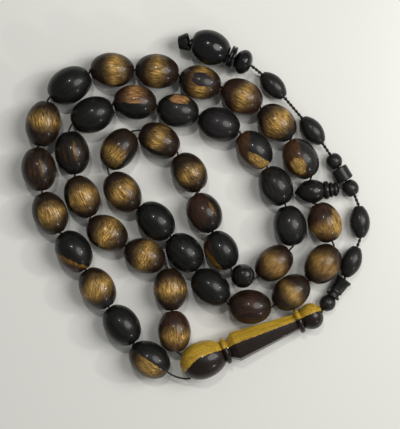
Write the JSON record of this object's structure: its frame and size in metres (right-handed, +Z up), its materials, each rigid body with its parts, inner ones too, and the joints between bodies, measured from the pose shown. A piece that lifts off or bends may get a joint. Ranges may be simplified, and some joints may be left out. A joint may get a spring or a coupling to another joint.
{
  "type": "misbaha prayer beads",
  "caption": "Loop of turned wooden beads on a cord with two separators, a leader bead and a tail of small turned pieces; beads spin and slide on the cord.",
  "frame": {"origin": "centre of the bounding box on the surface the beads lie on", "axes": "+Z up from the surface; +X to the right and +Y to the top of the laid-out string as seen from above, with the leader bead at the bottom pointing right"},
  "size_m": [0.109, 0.1092, 0.0142],
  "materials": {
    "golden_wood": "polished, golden sapwood streaked with dark heartwood",
    "dark_wood": "polished near-black heartwood",
    "leader_wood": "polished, half golden sapwood and half dark heartwood",
    "black_wood": "polished black wood",
    "cord": "matt twisted cord"
  },
  "bodies": {
    "strung_cord": {"leader_bead": "leader_wood", "loop_cord": "cord", "tail_cord": "cord", "end_knot": "cord"},
    "bead_01": {"bead_01": "golden_wood"},
    "bead_02": {"bead_02": "dark_wood"},
    "bead_03": {"bead_03": "golden_wood"},
    "bead_04": {"bead_04": "dark_wood"},
    "bead_05": {"bead_05": "golden_wood"},
    "bead_06": {"bead_06": "dark_wood"},
    "bead_07": {"bead_07": "golden_wood"},
    "bead_08": {"bead_08": "dark_wood"},
    "bead_09": {"bead_09": "golden_wood"},
    "bead_10": {"bead_10": "golden_wood"},
    "bead_11": {"bead_11": "golden_wood"},
    "bead_12": {"bead_12": "golden_wood"},
    "bead_13": {"bead_13": "golden_wood"},
    "bead_14": {"bead_14": "golden_wood"},
    "bead_15": {"bead_15": "golden_wood"},
    "bead_16": {"bead_16": "golden_wood"},
    "bead_17": {"bead_17": "golden_wood"},
    "bead_18": {"bead_18": "golden_wood"},
    "bead_19": {"bead_19": "dark_wood"},
    "bead_20": {"bead_20": "dark_wood"},
    "bead_21": {"bead_21": "dark_wood"},
    "bead_22": {"bead_22": "golden_wood"},
    "bead_23": {"bead_23": "golden_wood"},
    "bead_24": {"bead_24": "golden_wood"},
    "bead_25": {"bead_25": "golden_wood"},
    "bead_26": {"bead_26": "dark_wood"},
    "bead_27": {"bead_27": "dark_wood"},
    "bead_28": {"bead_28": "golden_wood"},
    "bead_29": {"bead_29": "dark_wood"},
    "bead_30": {"bead_30": "dark_wood"},
    "bead_31": {"bead_31": "golden_wood"},
    "bead_32": {"bead_32": "dark_wood"},
    "bead_33": {"bead_33": "dark_wood"},
    "bead_34": {"bead_34": "golden_wood"},
    "bead_35": {"bead_35": "dark_wood"},
    "bead_36": {"bead_36": "dark_wood"},
    "bead_37": {"bead_37": "golden_wood"},
    "bead_38": {"bead_38": "golden_wood"},
    "bead_39": {"bead_39": "golden_wood"},
    "bead_40": {"bead_40": "golden_wood"},
    "bead_41": {"bead_41": "golden_wood"},
    "separator_1": {"separator_1": "black_wood"},
    "separator_2": {"separator_2": "black_wood"},
    "tail_vase": {"tail_vase": "black_wood"},
    "tail_olive_1": {"tail_olive_1": "black_wood"},
    "tail_olive_2": {"tail_olive_2": "black_wood"},
    "tail_olive_3": {"tail_olive_3": "black_wood"},
    "tail_olive_4": {"tail_olive_4": "black_wood"},
    "tail_ball_1": {"tail_ball_1": "black_wood"},
    "tail_barrel": {"tail_barrel": "black_wood"},
    "tail_ball_2": {"tail_ball_2": "black_wood"},
    "end_ball": {"end_ball": "black_wood"},
    "end_ring": {"end_ring": "black_wood"},
    "end_oval": {"end_oval": "black_wood"},
    "end_cap": {"end_cap": "black_wood"}
  },
  "joints": [
    {"name": "bead_01_slide", "type": "slide", "parent": "strung_cord", "child": "bead_01", "axis": [0.8192, -0.5736, 0], "range_m": [0, 0.0015]},
    {"name": "bead_02_spin", "type": "hinge", "parent": "strung_cord", "child": "bead_02", "pos_m": [-0.0235, -0.0375, 0.0054], "axis": [-0.6018, 0.7986, 0], "continuous": true},
    {"name": "bead_03_spin", "type": "hinge", "parent": "strung_cord", "child": "bead_03", "pos_m": [-0.0311, -0.026, 0.0054], "axis": [-0.5299, 0.848, 0], "continuous": true},
    {"name": "bead_04_spin", "type": "hinge", "parent": "strung_cord", "child": "bead_04", "pos_m": [-0.0385, -0.0145, 0.0054], "axis": [-0.5299, 0.848, 0], "continuous": true},
    {"name": "bead_05_spin", "type": "hinge", "parent": "strung_cord", "child": "bead_05", "pos_m": [-0.0459, -0.0026, 0.0054], "axis": [-0.3907, 0.9205, 0], "continuous": true},
    {"name": "bead_06_spin", "type": "hinge", "parent": "strung_cord", "child": "bead_06", "pos_m": [-0.0494, 0.0111, 0.0054], "axis": [-0.1564, 0.9877, 0], "continuous": true},
    {"name": "bead_07_spin", "type": "hinge", "parent": "strung_cord", "child": "bead_07", "pos_m": [-0.048, 0.0253, 0.0055], "axis": [0.1564, 0.9877, 0], "continuous": true},
    {"name": "bead_08_spin", "type": "hinge", "parent": "strung_cord", "child": "bead_08", "pos_m": [-0.0398, 0.0373, 0.00555], "axis": [0.866, 0.5, 0], "continuous": true},
    {"name": "bead_09_spin", "type": "hinge", "parent": "strung_cord", "child": "bead_09", "pos_m": [-0.0265, 0.0421, 0.0054], "axis": [0.9962, -0.0872, 0], "continuous": true},
    {"name": "bead_10_spin", "type": "hinge", "parent": "strung_cord", "child": "bead_10", "pos_m": [-0.0125, 0.0417, 0.0054], "axis": [0.9925, -0.1219, 0], "continuous": true},
    {"name": "bead_11_spin", "type": "hinge", "parent": "strung_cord", "child": "bead_11", "pos_m": [0.0009, 0.0382, 0.00525], "axis": [0.9744, -0.225, 0], "continuous": true},
    {"name": "bead_12_spin", "type": "hinge", "parent": "strung_cord", "child": "bead_12", "pos_m": [0.0139, 0.0338, 0.0054], "axis": [0.891, -0.454, 0], "continuous": true},
    {"name": "bead_13_spin", "type": "hinge", "parent": "strung_cord", "child": "bead_13", "pos_m": [0.0248, 0.0256, 0.0054], "axis": [0.766, -0.6428, 0], "continuous": true},
    {"name": "bead_14_spin", "type": "hinge", "parent": "strung_cord", "child": "bead_14", "pos_m": [0.0323, 0.0144, 0.0053], "axis": [0.5446, -0.8387, 0], "continuous": true},
    {"name": "bead_15_spin", "type": "hinge", "parent": "strung_cord", "child": "bead_15", "pos_m": [0.0398, -0.0055, 0.0052], "axis": [0.3746, -0.9272, 0], "continuous": true},
    {"name": "bead_16_spin", "type": "hinge", "parent": "strung_cord", "child": "bead_16", "pos_m": [0.0392, -0.0184, 0.0054], "axis": [-0.5736, -0.8192, 0], "continuous": true},
    {"name": "bead_17_spin", "type": "hinge", "parent": "strung_cord", "child": "bead_17", "pos_m": [0.0293, -0.0273, 0.0052], "axis": [-0.788, -0.6157, 0], "continuous": true},
    {"name": "bead_18_spin", "type": "hinge", "parent": "strung_cord", "child": "bead_18", "pos_m": [0.0164, -0.0318, 0.0054], "axis": [-0.9986, 0.0523, 0], "continuous": true},
    {"name": "bead_19_spin", "type": "hinge", "parent": "strung_cord", "child": "bead_19", "pos_m": [0.0042, -0.0257, 0.0053], "axis": [-0.7547, 0.6561, 0], "continuous": true},
    {"name": "bead_20_spin", "type": "hinge", "parent": "strung_cord", "child": "bead_20", "pos_m": [-0.0039, -0.0149, 0.00535], "axis": [-0.6691, 0.7431, 0], "continuous": true},
    {"name": "bead_21_spin", "type": "hinge", "parent": "strung_cord", "child": "bead_21", "pos_m": [-0.013, -0.005, 0.0054], "axis": [-0.7071, 0.7071, 0], "continuous": true},
    {"name": "bead_22_spin", "type": "hinge", "parent": "strung_cord", "child": "bead_22", "pos_m": [-0.0233, 0.004, 0.0054], "axis": [-0.6157, 0.788, 0], "continuous": true},
    {"name": "bead_23_spin", "type": "hinge", "parent": "strung_cord", "child": "bead_23", "pos_m": [-0.0244, 0.0174, 0.0054], "axis": [0.5592, 0.829, 0], "continuous": true},
    {"name": "bead_24_spin", "type": "hinge", "parent": "strung_cord", "child": "bead_24", "pos_m": [-0.0118, 0.0201, 0.0053], "axis": [0.866, -0.5, 0], "continuous": true},
    {"name": "bead_25_spin", "type": "hinge", "parent": "strung_cord", "child": "bead_25", "pos_m": [-0.0025, 0.0101, 0.00535], "axis": [0.5592, -0.829, 0], "continuous": true},
    {"name": "bead_26_spin", "type": "hinge", "parent": "strung_cord", "child": "bead_26", "pos_m": [0.0022, -0.0025, 0.0054], "axis": [0.4848, -0.8746, 0], "continuous": true},
    {"name": "bead_27_spin", "type": "hinge", "parent": "strung_cord", "child": "bead_27", "pos_m": [0.0075, -0.0142, 0.00515], "axis": [0.5, -0.866, 0], "continuous": true},
    {"name": "bead_28_spin", "type": "hinge", "parent": "strung_cord", "child": "bead_28", "pos_m": [0.024, -0.0182, 0.0051], "axis": [0.766, 0.6428, 0], "continuous": true},
    {"name": "bead_29_spin", "type": "hinge", "parent": "strung_cord", "child": "bead_29", "pos_m": [0.029, -0.0065, 0.00515], "axis": [-0.2079, 0.9781, 0], "continuous": true},
    {"name": "bead_30_spin", "type": "hinge", "parent": "strung_cord", "child": "bead_30", "pos_m": [0.0246, 0.0059, 0.00515], "axis": [-0.454, 0.891, 0], "continuous": true},
    {"name": "bead_31_spin", "type": "hinge", "parent": "strung_cord", "child": "bead_31", "pos_m": [0.0178, 0.0172, 0.00515], "axis": [-0.6561, 0.7547, 0], "continuous": true},
    {"name": "bead_32_spin", "type": "hinge", "parent": "strung_cord", "child": "bead_32", "pos_m": [0.0068, 0.0251, 0.0053], "axis": [-0.9563, 0.2924, 0], "continuous": true},
    {"name": "bead_33_spin", "type": "hinge", "parent": "strung_cord", "child": "bead_33", "pos_m": [-0.006, 0.0294, 0.0052], "axis": [-0.9848, 0.1736, 0], "continuous": true},
    {"name": "bead_34_spin", "type": "hinge", "parent": "strung_cord", "child": "bead_34", "pos_m": [-0.0194, 0.032, 0.0054], "axis": [-0.9962, 0.0872, 0], "continuous": true},
    {"name": "bead_35_spin", "type": "hinge", "parent": "strung_cord", "child": "bead_35", "pos_m": [-0.0327, 0.0281, 0.00555], "axis": [-0.9205, -0.3907, 0], "continuous": true},
    {"name": "bead_36_spin", "type": "hinge", "parent": "strung_cord", "child": "bead_36", "pos_m": [-0.039, 0.0162, 0.0054], "axis": [0.1736, -0.9848, 0], "continuous": true},
    {"name": "bead_37_spin", "type": "hinge", "parent": "strung_cord", "child": "bead_37", "pos_m": [-0.0359, 0.0025, 0.0054], "axis": [0.4067, -0.9135, 0], "continuous": true},
    {"name": "bead_38_spin", "type": "hinge", "parent": "strung_cord", "child": "bead_38", "pos_m": [-0.0281, -0.0088, 0.0054], "axis": [0.866, -0.5, 0], "continuous": true},
    {"name": "bead_39_spin", "type": "hinge", "parent": "strung_cord", "child": "bead_39", "pos_m": [-0.0164, -0.0159, 0.00535], "axis": [0.9272, -0.3746, 0], "continuous": true},
    {"name": "bead_40_spin", "type": "hinge", "parent": "strung_cord", "child": "bead_40", "pos_m": [-0.0084, -0.0264, 0.00525], "axis": [0.0872, -0.9962, 0], "continuous": true},
    {"name": "bead_41_spin", "type": "hinge", "parent": "strung_cord", "child": "bead_41", "pos_m": [-0.0071, -0.0395, 0.00515], "axis": [0.0872, -0.9962, 0], "continuous": true},
    {"name": "separator_1_swing", "type": "hinge", "parent": "strung_cord", "child": "separator_1", "pos_m": [0.03565, 0.0042, 0.0038], "axis": [0.0872, -0.9962, 0], "range_deg": [0, 120]},
    {"name": "separator_2_swing", "type": "hinge", "parent": "strung_cord", "child": "separator_2", "pos_m": [0.0142, -0.0222, 0.0054], "axis": [-0.9511, 0.309, 0], "range_deg": [-35, 50]},
    {"name": "tail_vase_spin", "type": "hinge", "parent": "strung_cord", "child": "tail_vase", "pos_m": [0.0429, -0.028, 0.00275], "axis": [0.5807, 0.8141, 0], "continuous": true},
    {"name": "tail_olive_1_spin", "type": "hinge", "parent": "strung_cord", "child": "tail_olive_1", "pos_m": [0.0483, -0.0178, 0.00315], "axis": [0.3746, 0.9272, 0], "continuous": true},
    {"name": "tail_olive_2_spin", "type": "hinge", "parent": "strung_cord", "child": "tail_olive_2", "pos_m": [0.051, -0.0053, 0.00315], "axis": [-0.0523, 0.9986, 0], "continuous": true},
    {"name": "tail_olive_3_slide", "type": "slide", "parent": "strung_cord", "child": "tail_olive_3", "axis": [-0.6293, 0.7771, 0], "range_m": [0, 0.003]},
    {"name": "tail_olive_4_spin", "type": "hinge", "parent": "strung_cord", "child": "tail_olive_4", "pos_m": [0.0238, 0.0374, 0.00315], "axis": [-0.6947, 0.7193, 0], "continuous": true},
    {"name": "tail_ball_1_spin", "type": "hinge", "parent": "strung_cord", "child": "tail_ball_1", "pos_m": [0.0481, 0.00527, 0.00275], "axis": [-0.515, 0.8572, 0], "continuous": true},
    {"name": "tail_barrel_spin", "type": "hinge", "parent": "strung_cord", "child": "tail_barrel", "pos_m": [0.0455, 0.0096, 0.00275], "axis": [-0.515, 0.8572, 0], "continuous": true},
    {"name": "tail_ball_2_spin", "type": "hinge", "parent": "strung_cord", "child": "tail_ball_2", "pos_m": [0.043, 0.01376, 0.00275], "axis": [-0.515, 0.8572, 0], "continuous": true},
    {"name": "end_ball_spin", "type": "hinge", "parent": "strung_cord", "child": "end_ball", "pos_m": [0.01434, 0.04463, 0.00492], "axis": [-0.9183, 0.3898, 0.0698], "continuous": true},
    {"name": "end_ring_spin", "type": "hinge", "parent": "strung_cord", "child": "end_ring", "pos_m": [0.01075, 0.04616, 0.00519], "axis": [-0.9183, 0.3898, 0.0698], "continuous": true},
    {"name": "end_oval_spin", "type": "hinge", "parent": "strung_cord", "child": "end_oval", "pos_m": [0.00405, 0.049, 0.0057], "axis": [-0.9183, 0.3898, 0.0698], "continuous": true},
    {"name": "end_cap_spin", "type": "hinge", "parent": "strung_cord", "child": "end_cap", "pos_m": [-0.0027, 0.05085, 0.0054], "axis": [-0.9794, -0.1029, -0.1736], "continuous": true}
  ]
}
